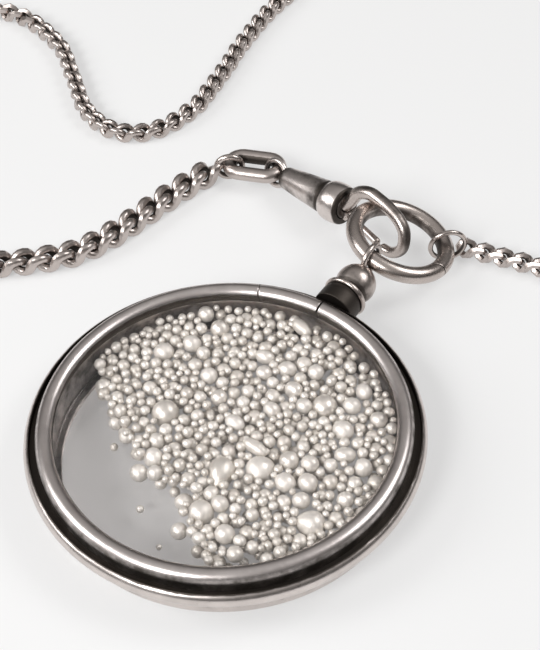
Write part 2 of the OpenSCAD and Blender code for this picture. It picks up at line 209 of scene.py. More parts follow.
def spline(points, spacing):
    """Smooth curve through given points: cubic pieces whose slopes come from the points on either side,
    then even steps along the curve's length."""
    p = np.asarray(points, float)
    a, b, c, d = np.vstack([p[:1], p[:-2]]), p[:-1], p[1:], np.vstack([p[2:], p[-1:]])
    t = np.linspace(0, 1, 24, endpoint=False)[None, :, None]
    a, b, c, d = (v[:, None] for v in (a, b, c, d))
    curve = 0.5 * (2 * b + (c - a) * t + (2 * a - 5 * b + 4 * c - d) * t ** 2
                   + (3 * b - 3 * c + d - a) * t ** 3)
    curve = np.vstack([curve.reshape(-1, p.shape[1]), p[-1:]])
    run = np.concatenate([[0], np.cumsum(np.linalg.norm(np.diff(curve, axis=0), axis=1))])
    s = np.linspace(0, run[-1], int(np.ceil(run[-1] / spacing)) + 1)
    return np.stack([np.interp(s, run, curve[:, k]) for k in range(p.shape[1])], 1), s


def arc(centre, radius, start, end, steps):
    """Points on a circle from one angle to another, in degrees."""
    a = np.radians(np.linspace(start, end, steps))
    return np.stack([centre[0] + radius * np.cos(a), centre[1] + radius * np.sin(a)], 1)


def eased(corners, cut, steps=4):
    """An open outline with each inner corner rounded: a quadratic curve from cut before it to cut after it."""
    p = np.asarray(corners, float)
    before, corner, after = p[:-2], p[1:-1], p[2:]
    reach = np.minimum(cut, 0.45 * np.minimum(np.linalg.norm(corner - before, axis=1),
                                              np.linalg.norm(after - corner, axis=1)))[:, None]
    start, end = corner + reach * unit(before - corner), corner + reach * unit(after - corner)
    t = np.linspace(0, 1, steps + 1)[None, :, None]
    bend = (1 - t) ** 2 * start[:, None] + 2 * t * (1 - t) * corner[:, None] + t ** 2 * end[:, None]
    return np.vstack([p[:1], bend.reshape(-1, 2), p[-1:]])


def turned(outline, steps, tone_and_shade=0.0, closed=False):
    """An outline of (radius, height) turned about Z: x = r cos a, y = r sin a, z = height. An outline that
    isn't closed starts and ends beside the axis and gets a small flat lid there."""
    a = np.linspace(0, 2 * np.pi, steps, endpoint=False)[None]
    r, z = outline[:, :1], outline[:, 1:]
    points = np.stack([r * np.cos(a), r * np.sin(a), z + 0 * a], -1).reshape(-1, 3)
    lids = [] if closed else [np.arange(steps)[::-1], (len(outline) - 1) * steps + np.arange(steps)]
    shade = np.repeat(np.broadcast_to(tone_and_shade, (len(outline),)), steps)
    return points, [quads(len(outline), steps, closed, True)], lids, shade


def wire(path, radii, sides, closed=False):
    """A round wire: square to the path, a circle of the wire's radius at each of its points."""
    if closed:
        along = unit(np.roll(path, -1, 0) - np.roll(path, 1, 0))
    else:
        along = unit(np.gradient(path, axis=0))
    side = unit(np.cross((0, 0, 1), along))
    over = np.cross(along, side)
    v = np.linspace(0, 2 * np.pi, sides, endpoint=False)[None, :, None]
    r = np.broadcast_to(radii, (len(path),))[:, None, None]
    points = path[:, None] + r * (np.cos(v) * side[:, None] + np.sin(v) * over[:, None])
    n = len(path)
    lids = [] if closed else [np.arange(sides)[::-1], (n - 1) * sides + np.arange(sides)]
    return points.reshape(-1, 3), [quads(n, sides, closed, True)], lids, np.zeros(n * sides)


def round_end(s, length):
    """Factor for a wire's radius that closes it in a quarter ellipse over the given length at its end."""
    return np.sqrt(1 - np.clip(1 - (s[-1] - s) / length, 0, 0.999) ** 2)


def hoop(radius, thick, steps, outer, inner):
    """A closed ring of round wire about Z, black with painted shade on its inner side, from one distance to
    another.
    """
    a = np.linspace(0, 2 * np.pi, steps, endpoint=False)
    points, sheets, lids, _ = wire(np.stack([radius * np.cos(a), radius * np.sin(a), 0 * a], 1), thick, 16,
                                   closed=True)
    return points, sheets, lids, 0.8 * smooth_step(outer, inner, np.linalg.norm(points, axis=1))


def piece(name, parts, material, body="pendant", stands_for=(), sharp=40):
    """Joins the parts into one smooth mesh in metres that rides on a body and stands for CAD nodes."""
    points, faces, shade, first = [], [], [], 0
    for spots, sheets, lids, tone_and_shade in parts:
        for sheet in sheets:
            faces += (sheet + first).tolist()
        faces += [(lid + first).tolist() for lid in lids]
        points.append(spots)
        shade.append(tone_and_shade)
        first += len(spots)
    mesh = bpy.data.meshes.new(name)
    mesh.from_pydata((np.concatenate(points) * MM).tolist(), [], faces)
    mesh.attributes.new("tone_and_shade", "FLOAT", "POINT").data.foreach_set(
        "value", np.concatenate(shade).astype(np.float32))
    mesh.shade_smooth()
    mesh.set_sharp_from_angle(angle=np.radians(sharp))
    mesh.materials.append(material)
    mesh.validate()
    obj = bpy.data.objects.new(name, mesh)
    bpy.context.collection.objects.link(obj)
    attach(obj, body)
    if stands_for:
        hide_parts(*stands_for)


# ---- Materials ----
def add(tree, kind, inputs=(), **settings):
    """A new node. An input takes a value, or a socket that is linked to it."""
    n = tree.nodes.new(kind)
    for key, value in settings.items():
        setattr(n, key, value)
    for key, value in dict(inputs).items():
        if isinstance(value, bpy.types.NodeSocket):
            tree.links.new(value, n.inputs[key])
        else:
            n.inputs[key].default_value = value
    return n


def group(name, inputs, outputs):
    """An empty shader node group with its sockets, given as (name, kind)."""
    tree = bpy.data.node_groups.new(name, "ShaderNodeTree")
    for socket, kind in inputs:
        tree.interface.new_socket(socket, in_out="INPUT", socket_type="NodeSocket" + kind)
    for socket, kind in outputs:
        tree.interface.new_socket(socket, in_out="OUTPUT", socket_type="NodeSocket" + kind)
    return tree, tree.nodes.new("NodeGroupInput"), tree.nodes.new("NodeGroupOutput")


def join(tree, node, sockets):
    """Links sockets to the inputs of a node that have the given names."""
    for key, socket in sockets.items():
        tree.links.new(socket, node.inputs[key])


def maths(tree, operation, *values, **settings):
    """The result of a math node on values or sockets."""
    return add(tree, "ShaderNodeMath", dict(enumerate(values)), operation=operation, **settings).outputs[0]


def spread(tree, value, low, high, start=0.0, end=1.0, **settings):
    """A value carried over from the range low to high to the range start to end, and kept in it."""
    return add(tree, "ShaderNodeMapRange", {"Value": value, "From Min": low, "From Max": high,
                                            "To Min": start, "To Max": end}, **settings).outputs[0]


def noise(tree, scale, detail, roughness=0.5, distortion=0.0):
    """Noise in the object's own space."""
    here = add(tree, "ShaderNodeTexCoord").outputs["Object"]
    return add(tree, "ShaderNodeTexNoise", {"Vector": here, "Scale": scale, "Detail": detail,
                                            "Roughness": roughness, "Distortion": distortion}).outputs["Fac"]


def blend(tree, amount, first, second):
    """One colour that goes over into another."""
    return add(tree, "ShaderNodeMix", {"Factor": amount, 6: first, 7: second}, data_type="RGBA").outputs[2]


def worn_and_shaded_silver_group():
    """Silver that is polished where it is touched and black where the OxideAndShade input says: oxidation in
    its recesses, and painted shade and painted dark reflections. A slow noise moves the edge of the black and
    veils the polish, a fine noise grains it, and thin lines of a third are hairline scratches."""
    tree, given, out = group("worn_and_shaded_silver", [("OxideAndShade", "Float"), ("Bright", "Color"), ("Dark", "Color"),
                                             ("Polish", "Float"), ("Black", "Float"), ("Grain", "Float")],
                             [("Color", "Color"), ("Roughness", "Float"), ("Height", "Float")])
    given = given.outputs
    cloud, fine = noise(tree, 420, 4, 0.6), noise(tree, 3200, 3, 0.6)
    off_line = maths(tree, "ABSOLUTE", maths(tree, "SUBTRACT", noise(tree, 260, 7, distortion=2.2), 0.5))
    scratch = spread(tree, off_line, 0.0, 0.006, 1.0, 0.0)
    stray = maths(tree, "MULTIPLY", maths(tree, "SUBTRACT", cloud, 0.5), 0.9)
    edge = spread(tree, maths(tree, "ADD", given["OxideAndShade"], stray), 0.3, 0.75, interpolation_type="SMOOTHSTEP")
    black = maths(tree, "MULTIPLY", edge, given["Black"])
    veiled = maths(tree, "MAXIMUM", black, spread(tree, cloud, 0.35, 0.75, 0.0, 0.22))
    rough = maths(tree, "MULTIPLY_ADD", black, 0.22, given["Polish"])
    grain = maths(tree, "MULTIPLY", fine, given["Grain"])
    dips = maths(tree, "MULTIPLY_ADD", scratch, -0.1, grain)
    join(tree, out, {"Color": blend(tree, veiled, given["Bright"], given["Dark"]),
                     "Roughness": maths(tree, "ADD", grain, rough),
                     "Height": maths(tree, "MULTIPLY_ADD", cloud, 0.5, dips)})
    return tree


def blank_material(name):
    """A new material with its tree and its Principled BSDF."""
    material = bpy.data.materials.new(name)
    material.use_nodes = True
    return material, material.node_tree, material.node_tree.nodes["Principled BSDF"]


def dress(tree, shader, skin, strength, depth):
    """Puts a group's colour, roughness and relief on the shader."""
    relief = add(tree, "ShaderNodeBump", {"Height": skin["Height"], "Strength": strength, "Distance": depth})
    join(tree, shader, {"Base Color": skin["Color"], "Roughness": skin["Roughness"],
                        "Normal": relief.outputs["Normal"]})


def silver(name, worn_and_shaded, bright, dark, polish, black, grain, relief):
    """Polished to black silver, black with oxidation and with painted shade: the worn_and_shaded_silver group
    feeds colour, roughness and relief.
    """
    material, tree, shader = blank_material(name)
    shader.inputs["Metallic"].default_value = 1.0
    tone_and_shade = add(tree, "ShaderNodeAttribute", attribute_name="tone_and_shade").outputs["Fac"]
    skin = add(tree, "ShaderNodeGroup", {"OxideAndShade": tone_and_shade, "Bright": bright, "Dark": dark, "Polish": polish,
                                         "Black": black, "Grain": grain}, node_tree=worn_and_shaded).outputs
    dress(tree, shader, skin, relief, 0.00006)
    return material


def granule_group():
    """Pearly cast silver. From 0 to 1 a granule's tone is how light it is, and above 1 how polished: smoother,
    more metallic and darker. A slow noise swells the surface and clouds its gloss, a fine one frosts it."""
    tree, given, out = group("pearly_silver", [("Tone", "Float")],
                             [("Color", "Color"), ("Roughness", "Float"), ("Metal", "Float"),
                              ("Height", "Float")])
    tone = given.outputs["Tone"]
    swell, frost = noise(tree, 1100, 2), noise(tree, 4500, 2)
    polish = spread(tree, tone, 1.0, 2.0)
    light = maths(tree, "MULTIPLY_ADD", polish, -0.9, maths(tree, "MINIMUM", tone, 1.0), use_clamp=True)
    rough = spread(tree, swell, 0.3, 0.7, 0.34, 0.54)
    join(tree, out, {"Color": blend(tree, light, (0.6, 0.56, 0.51, 1), (0.76, 0.725, 0.68, 1)),
                     "Roughness": maths(tree, "MULTIPLY_ADD", polish, -0.08, rough),
                     "Metal": maths(tree, "MULTIPLY_ADD", polish, 0.36, 0.36),
                     "Height": maths(tree, "MULTIPLY_ADD", frost, 0.25, swell)})
    return tree


def granule_silver():
    """Bright fine silver of the granules, whose tone stands in the tone_and_shade attribute."""
    material, tree, shader = blank_material("granule_silver")
    tone = add(tree, "ShaderNodeAttribute", attribute_name="tone_and_shade").outputs["Fac"]
    skin = add(tree, "ShaderNodeGroup", {"Tone": tone}, node_tree=granule_group()).outputs
    join(tree, shader, {"Metallic": skin["Metal"]})
    dress(tree, shader, skin, 0.25, 0.0001)
    return material


def clear_glass():
    """Clear locket glass. Shadow and diffuse rays pass straight through it."""
    material, tree, shader = blank_material("locket_glass")
    shader.inputs["Base Color"].default_value = (0.985, 0.972, 0.968, 1)
    shader.inputs["Roughness"].default_value = 0.02
    shader.inputs["IOR"].default_value = 1.45
    shader.inputs["Transmission Weight"].default_value = 1.0
    ray = add(tree, "ShaderNodeLightPath").outputs
    either = maths(tree, "MAXIMUM", ray["Is Shadow Ray"], ray["Is Diffuse Ray"])
    through = add(tree, "ShaderNodeBsdfTransparent").outputs[0]
    mix = add(tree, "ShaderNodeMixShader", {0: either, 1: shader.outputs[0], 2: through})
    join(tree, tree.nodes["Material Output"], {"Surface": mix.outputs[0]})
    return material


# ---- Case ----
def case_outline():
    """Section of the case as (radius, height), counter-clockwise: back rest, rounded back edge, wall, round
    rim, groove, shoulder, inner wall and back lip, with how black each point is: oxidation in the groove, and
    painted shade on the back, the wall under the rim, the rim's rolled edges and the inner wall."""
    back = arc((17.65, 0.75), 0.75, -90, 0, 8)
    rim = arc((19, RIM_Z), 1, -124, 64, 34)
    groove = eased([rim[-1], [19.4, 5.06], [19.4, SHOULDER_Z], [18.72, SHOULDER_Z]], 0.06)[1:]
    inner = eased([[17.32, SHOULDER_Z], [WALL_R, 4.3], [WALL_R, 0.5], [16.6, 0.5], [16.6, 0.0], [16.75, 0.0]],
                  0.07)
    outline = np.vstack([back, [[18.4, 1.6]], [[18.4, 2.6]], [[18.4, 3.3]], rim, groove, inner])
    # Painted shade: darker on the back and up the wall under the rim, on the rim's underside and its edge by
    # the groove, and half black on the inner wall. The groove is black with oxidation.
    black = np.concatenate([np.linspace(0.1, 0.3, len(back)), [0.4, 0.55, 0.9],
                            np.interp(np.linspace(-124, 64, len(rim)), [-124, -90, -50, 35, 50, 64],
                                      [0.9, 0.35, 0.0, 0.0, 0.35, 0.9]),
                            np.ones(len(groove)), np.full(len(inner), 0.5)])
    return outline, black


def make_case():
    """The case is its section turned about Z, with the neck's dark cup turned about Y."""
    outline, black = case_outline()
    shell = turned(outline, 320, black, closed=True)
    cup = eased([[0.02, 0], [2.26, 0], [2.3, 0.15], [2.3, 1.55], [2.16, 2.12], [0.02, 2.12]], 0.14)
    neck = moved(turned(cup, 72, 0.85 + 0 * cup[:, 0]), (-90, 0, 0), (0, CUP_Y, RIM_Z))
    piece("case_shell", [shell, neck], oxidised_and_shaded, stands_for=["case_body"])


def make_bezel():
    """The bezel's section, a round top over a straight skirt, turned from one side of the fine slit round to
    the other. Its ends draw in a little, and a shallow nick crosses it. The seat inside it is black, painted
    shade, and painted shade also darkens the crown's outer flank, its inner side and the outer skirt."""
    crown = arc((BEZEL_R, BEZEL_Z), BEZEL_WIRE, -22, 168, 34)
    skirt = eased([crown[-1], [crown[-1, 0], GLASS_TOP], [17.55, GLASS_TOP], [17.55, 4.95], [WALL_R, 4.95],
                   [WALL_R, SHOULDER_Z], [18.6, SHOULDER_Z], crown[0]], 0.05, 2)[1:-1]
    outline = np.vstack([crown, skirt])
    # Painted shade: the crown darker on its outer flank and black on its inner side, the seat black and the
    # outer skirt darker.
    black = np.concatenate([np.interp(np.linspace(-22, 168, len(crown)), [-22, 0, 25, 45, 62, 140, 158, 168],
                                      [0.68, 0.6, 0.6, 0.4, 0, 0, 0.85, 1]),
                            np.where(skirt[:, 0] < 17.6, 1.0, 0.68)])
    half_slit = 0.2
    ends = SLIT_AT + half_slit + np.array([0, 0.04, 0.12, 0.25])
    turns = np.concatenate([ends, np.linspace(SLIT_AT + 0.8, SLIT_AT + 359.2, 330),
                            2 * SLIT_AT + 360 - ends[::-1]])
    turns = np.sort(np.concatenate([turns, NICK_AT + np.array([-0.35, -0.15, 0, 0.15, 0.35])]))
    from_end = np.minimum(turns - turns[0], turns[-1] - turns)
    draw_in = 0.06 * np.clip(1 - from_end / 0.25, 0, 1) ** 2
    nick = 0.05 * np.exp(-((turns - NICK_AT) / 0.16) ** 2)
    middle = np.array([BEZEL_R, BEZEL_Z - 0.3])
    shrink = (1 - draw_in / 0.7 - nick / 0.7)[None, :, None]
    section = middle + (outline - middle)[:, None] * shrink
    a = np.radians(turns)[None]
    points = np.stack([section[..., 0] * np.cos(a), section[..., 0] * np.sin(a), section[..., 1]], -1)
    rows, cols = points.shape[:2]
    lids = [np.arange(rows) * cols, (np.arange(rows) * cols + cols - 1)[::-1]]
    near_cut = 0.8 * np.clip(1 - from_end / 0.3, 0, 1) + 0.8 * np.exp(-((turns - NICK_AT) / 0.2) ** 2)
    shade = np.clip(black[:, None] + near_cut[None], 0, 1).ravel()
    piece("bezel_ring", [(points.reshape(-1, 3), [quads(rows, cols, True, False)], lids, shade)],
          bezel_silver, stands_for=["bezel"])


# ---- Granules ----
def loose_solids(obj):
    """Lowest and highest corner of each loose solid of a mesh, in millimetres. Each corner takes the smallest
    number found on the faces it touches, over and over, until each solid has one number."""
    mesh = obj.data
    spots = np.empty(len(mesh.vertices) * 3)
    mesh.vertices.foreach_get("co", spots)
    mesh.calc_loop_triangles()
    tris = np.empty(len(mesh.loop_triangles) * 3, int)
    mesh.loop_triangles.foreach_get("vertices", tris)
    spots = spots.reshape(-1, 3) / MM
    merged, number = np.unique(np.round(spots, 3), axis=0, return_inverse=True)
    tris = number.ravel()[tris].reshape(-1, 3)
    label = np.arange(len(merged))
    while True:
        least = label[tris].min(1)
        new = label.copy()
        np.minimum.at(new, tris.ravel(), np.repeat(least, 3))
        if (new == label).all():
            break
        label = new
    names, which = np.unique(label, return_inverse=True)
    low, high = np.full((len(names), 3), 1e9), np.full((len(names), 3), -1e9)
    np.minimum.at(low, which, merged)
    np.maximum.at(high, which, merged)
    return low, high


def heap_edge(x):
    """The least y of the heap at each x."""
    return np.interp(x, HEAP_EDGE[:, 0], HEAP_EDGE[:, 1])


def second_layer(centres, radii, big_at, big_r, chance, wanted, least, most):
    """More granules dropped from above: each comes down at its x and y until it touches one that lies there
    or the back glass. Of the places drawn for a granule the lowest is taken, so the hollows fill first,
    and it stays only if it lies low in the heap. None comes down on a large granule."""
    at = np.zeros((len(radii) + wanted, 3))
    size = np.zeros(len(at))
    count = len(radii)
    at[:count], size[:count] = centres, radii
    for draw, place in zip(chance.random(3 * wanted), chance.random((3 * wanted, PLACES, 2))):
        r = least + (most - least) * draw ** 1.3
        far = (WALL_R - r - 0.1) * np.sqrt(place[:, 0])
        x, y = far * np.cos(2 * np.pi * place[:, 1]), far * np.sin(2 * np.pi * place[:, 1])
        heap = (y > heap_edge(x) + 0.5) & ~((x > BARE_X) & (y < BARE_Y))
        off_big = np.hypot(big_at[None, :, 0] - x[:, None], big_at[None, :, 1] - y[:, None]) > big_r + 0.6 * r
        heap &= off_big.all(1)
        across = np.hypot(at[None, :count, 0] - x[:, None], at[None, :count, 1] - y[:, None])
        reach = size[None, :count] + r
        rest = at[None, :count, 2] + np.sqrt(np.clip(reach ** 2 - across ** 2, 0, None))
        rest = np.where(across < reach, rest, 0)
        height = np.where(heap, np.maximum(rest.max(1), GRANULE_FLOOR + r), 99)
        best = int(np.argmin(height))
        if height[best] + r > HEAP_TOP or count == len(at):
            continue
        at[count], size[count] = (x[best], y[best], height[best]), r
        count += 1
    return at[len(radii):count], size[len(radii):count]


def pebbles(centres, half, headings, chance, rings, sides, lumps, narrow, polish):
    """Granules as bumpy eggs. Over the angles u from pole to pole and v round them, the radius is
    1 + lumps times a sum of cosines of directions picked by chance, stretched to the half sizes, and
    the width is 1 - narrow times the place along the length."""
    count = len(centres)
    u = np.linspace(0, np.pi, rings + 1)[:, None]
    v = np.linspace(0, 2 * np.pi, sides, endpoint=False)[None]
    ball = np.stack([np.sin(u) * np.cos(v), np.sin(u) * np.sin(v), np.cos(u) + 0 * v], -1).reshape(-1, 3)
    lean = unit(chance.normal(size=(count, 3, 3)))
    first = lean[:, 0]
    second = unit(lean[:, 1] - (lean[:, 1] * first).sum(1, keepdims=True) * first)
    frames = np.stack([first, second, np.cross(first, second)], 1)
    directions = np.einsum("pj,kji->kpi", ball, frames)
    waves = unit(chance.normal(size=(count, 5, 3))) * chance.uniform(1.5, 4.2, (count, 5, 1))
    phase = chance.uniform(0, 2 * np.pi, (count, 5, 1))
    bumps = np.cos(np.einsum("kwi,kpi->kwp", waves, directions) + phase).mean(1)
    grown = directions * (1 + lumps[:, None] * bumps)[..., None]
    grown /= np.abs(grown).max(1, keepdims=True)
    c, s = np.cos(headings)[:, None], np.sin(headings)[:, None]
    sized = grown * half[:, None]
    sized[..., 1:] *= 1 - narrow[:, None, None] * grown[..., :1]
    points = np.stack([sized[..., 0] * c - sized[..., 1] * s, sized[..., 0] * s + sized[..., 1] * c,
                       sized[..., 2]], -1) + centres[:, None]
    sheet = quads(rings + 1, sides, False, True)
    fan = sheet[(sheet[:, 0] >= sides) & (sheet[:, 2] < rings * sides)]
    top, low = np.arange(sides), rings * sides + np.arange(sides)
    top_fan = np.stack([0 * top, sides + (top + 1) % sides, sides + top], 1)
    low_fan = np.stack([0 * low + rings * sides, low - sides, (top + 1) % sides + (rings - 1) * sides], 1)
    start = (np.arange(count) * len(ball))[:, None, None]
    tone = np.repeat(chance.random(count) + polish, len(ball))
    sheets = [(f[None] + start).reshape(-1, f.shape[1]) for f in (fan, top_fan, low_fan)]
    return points.reshape(-1, 3), sheets, [], tone


def large_granules():
    """Middle and half sizes of the large granules. One at the heap's edge lies on the back glass, and
    further in they rise until their tops stand at LARGE_TOP. Those by the wall are drawn in off it."""
    seen = np.array(LARGE_GRANULES, float)
    wide = seen[:, 3]
    low = GRANULE_FLOOR + wide
    x, y, _ = seen_at(seen[:, :2], low + GLASS_LIFT).T
    into_heap = np.clip((y - heap_edge(x)) / 3, 0, 1)
    centres = seen_at(seen[:, :2], low + into_heap * (LARGE_TOP - wide - low) + GLASS_LIFT)
    centres[:, 2] -= GLASS_LIFT
    from_axis = np.hypot(centres[:, 0], centres[:, 1])
    centres[:, :2] *= np.minimum(1, (WALL_R - 0.1 - seen[:, 2]) / from_axis)[:, None]
    return centres, np.stack([seen[:, 2], wide, wide], 1)


def make_granules():
    """The small granules of the frame, the large ones and the rounds dropped on them, in one mesh."""
    chance = np.random.default_rng(11)
    low, high = loose_solids(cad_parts["granules"])
    spots, sizes = (low + high) / 2, (high[:, 2] - low[:, 2]) / 2
    big_at, big_half = large_granules()
    away = np.linalg.norm(spots[:, None] - big_at[None], axis=2)
    in_heap = spots[:, 1] > heap_edge(spots[:, 0])
    small = in_heap & (sizes < 0.7) & (away > 0.9 * (sizes[:, None] + big_half[None, :, :2].mean(2))).all(1)
    spots, sizes = spots[small], sizes[small]
    for wanted, least, most in ROUNDS:
        more, more_r = second_layer(np.vstack([spots, big_at]), np.concatenate([sizes, big_half[:, 1]]),
                                    big_at, big_half[:, 1], chance, wanted, least, most)
        spots, sizes = np.vstack([spots, more]), np.concatenate([sizes, more_r])
    count = len(sizes)
    stretch = 1 + chance.uniform(-0.07, 0.05, (count, 3))
    turns = chance.uniform(0, 2 * np.pi, count)
    grains = pebbles(spots, sizes[:, None] * stretch, turns, chance, 7, 12, chance.uniform(0.0, 0.05, count),
                     np.zeros(count), np.zeros(count))
    heading, narrow, crinkle = np.array(LARGE_GRANULES, float)[:, 4:].T
    polish = np.interp(big_half[:, 1], [0.8, 1.3], [0.3, 1.0])
    lumps = pebbles(big_at, big_half, np.radians(heading), chance, 14, 22, crinkle, narrow, polish)
    piece("silver_granules", [grains, lumps], pearly, stands_for=["granules"], sharp=75)


# ---- Neck and bow ring ----
def make_finial():
    """A disc with a rounded edge and a ball, turned about Y, and a wire eye that stands on the ball."""
    disc = np.vstack([[[0.02, 0.0]], arc((2.2, 0.3), 0.3, -90, 90, 10), [[1.5, 0.62]]])
    ball = arc((0, 2.4), 2.2, -54, 89.5, 40)
    outline = np.vstack([disc, ball])
    # Painted shade blackens the disc's bottom and its top by the ball, and the ball where it meets the disc and
    # the eye; the ball's middle is partly black, painted dark reflections.
    black = np.concatenate([np.interp(np.arange(len(disc)), [0, 1, 3, 8, 10, 11], [1, 0.8, 0, 0, 0.7, 1]),
                            np.interp(ball[:, 1], [0.6, 1.15, 1.5, 2.6, 3.6, 4.3, 4.6],
                                      [1, 0.9, 0.5, 0.4, 0.36, 0.55, 1])])
    stem = moved(turned(outline, 84, black), (-90, 0, 0), (0, NECK_Y, RIM_Z))
    eye = moved(hoop(1.56, 0.34, 72, 1.5, 1.25), (0, 90, 0), EYE_AT)
    piece("neck_finial", [stem, eye], polished, stands_for=["finial"])


def make_bow_ring():
    """A ring of heavy wire whose two ends meet at a slanted seam. Towards the seam the wire's circles lean
    over, and the last ones draw in, which leaves a fine dark line."""
    near = np.array([0, 0.12, 0.35, 0.8, 1.6, 3])
    a = np.concatenate([SEAM_HALF + near, np.linspace(SEAM_HALF + 5, 355 - SEAM_HALF, 150),
                        360 - SEAM_HALF - near[::-1]])
    path = np.radians(a + SEAM_AT)
    v = np.linspace(0, 2 * np.pi, 32, endpoint=False)
    from_end = np.minimum(a - a[0], a[-1] - a)
    draw_in = 1 - 0.07 * np.clip(1 - from_end / 0.7, 0, 1) ** 2
    outward = BOW_WIRE * draw_in[:, None] * np.cos(v)
    lean = np.tan(np.radians(SEAM_LEAN)) * outward / BOW_R * np.exp(-from_end / 9)[:, None]
    turn = path[:, None] + lean
    r = BOW_R + outward
    z = BOW_WIRE * draw_in[:, None] * np.sin(v)
    points = np.stack([r * np.cos(turn), r * np.sin(turn), z], -1)
    rows, cols = len(a), len(v)
    sheet = quads(rows, cols, False, True)[:, ::-1]
    lids = [np.arange(cols), ((rows - 1) * cols + np.arange(cols))[::-1]]
    # Black at the seam, and painted shade over the inner side of the wire.
    shade = (0.95 * np.clip(1 - from_end / 0.5, 0, 1)[:, None]
             + 0.7 * smooth_step(0.2, 0.95, -np.cos(v))[None]).ravel()
    ring = moved((points.reshape(-1, 3), [sheet], lids, np.clip(shade, 0, 1)), BOW_TURN, BOW_AT)
    piece("bow_wire", [ring], polished, stands_for=["bow_ring"])


# ---- Clasp ----
def at_clasp(part):
    """A part made in the clasp's own frame, put in its place."""
    return moved(part, CLASP_TURN, CLASP_AT)


def plate(outline, thick, z):
    """A small plate: an outline in X and Y with a height above and below z, its rims drawn in a little."""
    middle = outline.mean(0)
    levels = np.array([[-0.5, 0.86], [-0.5, 0.9], [-0.32, 1.0], [0.32, 1.0], [0.5, 0.9], [0.5, 0.86]])
    flat = middle + (outline - middle)[None] * levels[:, 1][:, None, None]
    height = z + thick * levels[:, 0][:, None, None] + 0 * flat[..., :1]
    n = len(outline)
    lids = [np.arange(n)[::-1], 5 * n + np.arange(n)]
    points = np.concatenate([flat, height], -1).reshape(-1, 3)
    return points, [quads(6, n, False, True)], lids, np.full(6 * n, 0.3)


def make_hook():
    """The hook is a wire along a smooth curve, a little thinner to its round tip. A plug holds it in the
    barrel, and two ears carry the gate's pin."""
    flat, s = spline(HOOK_PATH, 0.1)
    thick = (HOOK_WIRE - HOOK_THINS * (s / s[-1]) ** 2) * round_end(s, 0.3)
    bow = wire(np.column_stack([flat, 0 * s]), thick, 24)
    # Painted shade over one side of the wire, and the plug inside the barrel's mouth painted black as shade.
    inner = smooth_step(0.2, 0.95, np.cos(np.linspace(0, 2 * np.pi, 24, endpoint=False)))
    bow = bow[:3] + (np.tile(0.62 * inner, len(s)),)
    plug = turned(eased([[0.02, -0.9], [1.4, -0.9], [1.4, 0.1], [0.02, 0.1]], 0.12), 48, 0.95)
    plug = moved(plug, (0, 90, 0), (0, -BARREL_DROP, 0))
    ear = np.vstack([arc(PIN_AT, 0.45, -150, 90, 18), [[0.1, -0.7], [0.02, -0.75], [0.02, -1.1]]])
    ears = [plate(ear, 0.3, side * 0.6) for side in (-1, 1)]
    pin = eased([[0.02, -0.8], [0.17, -0.79], [0.2, -0.74], [0.2, 0.74], [0.17, 0.79], [0.02, 0.8]], 0.03)
    pin = moved(turned(pin, 20), at=PIN_AT)
    piece("hook_wire", [at_clasp(p) for p in [bow, plug, pin] + ears], polished,
          stands_for=["clasp_hook"])


def make_gate():
    """The gate is a knuckle round the pin and a slightly swelling arm with a round end."""
    knuckle = np.array([[0.25, -0.35], [0.4, -0.35], [0.42, -0.32], [0.42, 0.32], [0.4, 0.35], [0.25, 0.35]])
    # Painted shade darkens the knuckle, and the arm where it leaves it, between the hook's ears.
    barrel = turned(knuckle, 32, 0.4, closed=True)
    arm = np.vstack([[[0.02, 0.3], [0.33, 0.3], [0.38, 1.2], [0.43, 2.6]],
                     arc((0, GATE_LONG), 0.48, -8, 88, 14)])
    arm = moved(turned(arm, 28, np.interp(arm[:, 1], [0.3, 1.2, 5.1], [0.8, 0.1, 0.0])), (0, 90, GATE_DOWN))
    parts = [at_clasp(moved(p, at=PIN_AT)) for p in (barrel, arm)]
    piece("gate_arm", parts, polished, body="gate", stands_for=["clasp_gate"])


def make_barrel():
    """The barrel is turned about the clasp's X: a hollow mouth, a rounded collar, a shallow groove and a
    long cone, with a wire eye at the narrow end."""
    mouth = eased([[0.02, 1.0], [1.5, 1.0], [1.5, 0.02], [1.62, 0.0], [2.06, 0.0]], 0.05)[:-1]
    collar, _ = spline([[2.06, 0.0], [2.22, 0.22], [2.34, 0.85], [2.35, 1.5], [2.3, 2.1], [2.16, 2.5],
                        [1.97, 2.72]], 0.12)
    cone, _ = spline([[1.94, 2.86], [1.92, 3.2], [1.77, 4.7], [1.55, 7], [1.29, 9], [1.12, 9.42],
                      [0.84, 9.58]], 0.2)
    outline = np.vstack([mouth, collar, cone, [[0.02, 9.6]]])
    # Painted shade blackens the mouth, the collar's ends and the cone's ends; along its middle the cone is
    # about half black.
    black = np.concatenate([np.ones(len(mouth)),
                            np.interp(collar[:, 1], [0, 0.2, 0.4, 2.2, 2.7], [1, 0.6, 0, 0.1, 1]),
                            np.interp(cone[:, 1], [2.8, 3.3, 4.5, 8.5, 9.6], [1, 0.62, 0.5, 0.42, 0.9]), [1]])
    body = moved(turned(outline, 72, black), (0, -90, 0), (0, -BARREL_DROP, 0))
    eye = moved(hoop(1.5, 0.34, 64, 1.45, 1.2), at=(BARREL_EYE_X, -BARREL_DROP, 0))
    piece("barrel_cone", [at_clasp(body), at_clasp(eye)], oxidised_and_shaded,
          stands_for=["clasp_barrel"])


